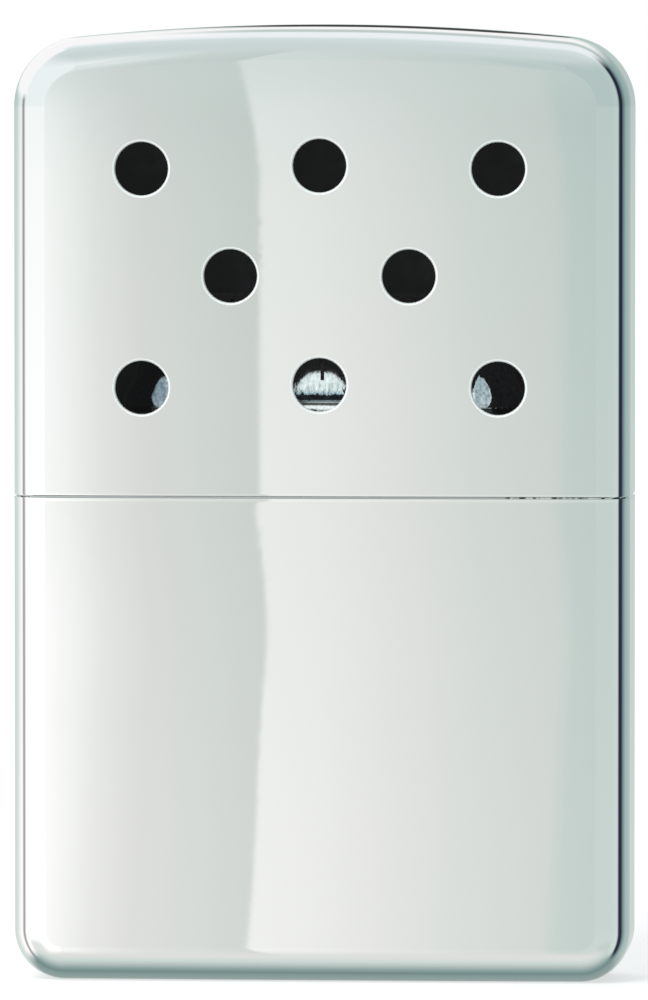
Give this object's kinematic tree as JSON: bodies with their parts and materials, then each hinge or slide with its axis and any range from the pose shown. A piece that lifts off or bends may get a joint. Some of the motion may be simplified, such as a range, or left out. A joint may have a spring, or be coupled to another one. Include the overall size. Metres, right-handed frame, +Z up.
{
  "type": "catalytic hand warmer",
  "caption": "Flat pocket-size catalytic hand warmer: polished fuel tank, lift-out slit burner on an oblong neck, and a slip-on cover with vent holes.",
  "frame": {"origin": "middle of the flat face that the tank stands on", "axes": "+Z up through the cover, X across the broad faces, Y through the thickness; the perforated front faces -Y"},
  "size_m": [0.051, 0.013, 0.0789],
  "materials": {
    "polished_chrome": "high polish chrome plate",
    "plated_steel": "bright plated, fine draw lines",
    "burner_steel": "bright pressed sheet",
    "catalyst_fibre": "matted glass fibre, grey with catalyst",
    "cotton": "loose cotton wool",
    "felt": "pressed felt"
  },
  "bodies": {
    "tank": {"tank_shell": "polished_chrome", "tank_sleeve": "plated_steel", "filler_neck": "plated_steel", "cotton_packing": "cotton", "felt_pad": "felt"},
    "burner": {"burner_skirt": "burner_steel", "burner_cage": "burner_steel", "mat_grid": "burner_steel", "catalyst_mat": "catalyst_fibre"},
    "cover": {"cover_shell": "polished_chrome"}
  },
  "joints": [
    {"name": "cover_lift", "type": "slide", "parent": "tank", "child": "cover", "axis": [0, 0, 1], "range_m": [0, 0.03]},
    {"name": "burner_pull", "type": "slide", "parent": "tank", "child": "burner", "axis": [0, 0, 1], "range_m": [0, 0.01]}
  ]
}
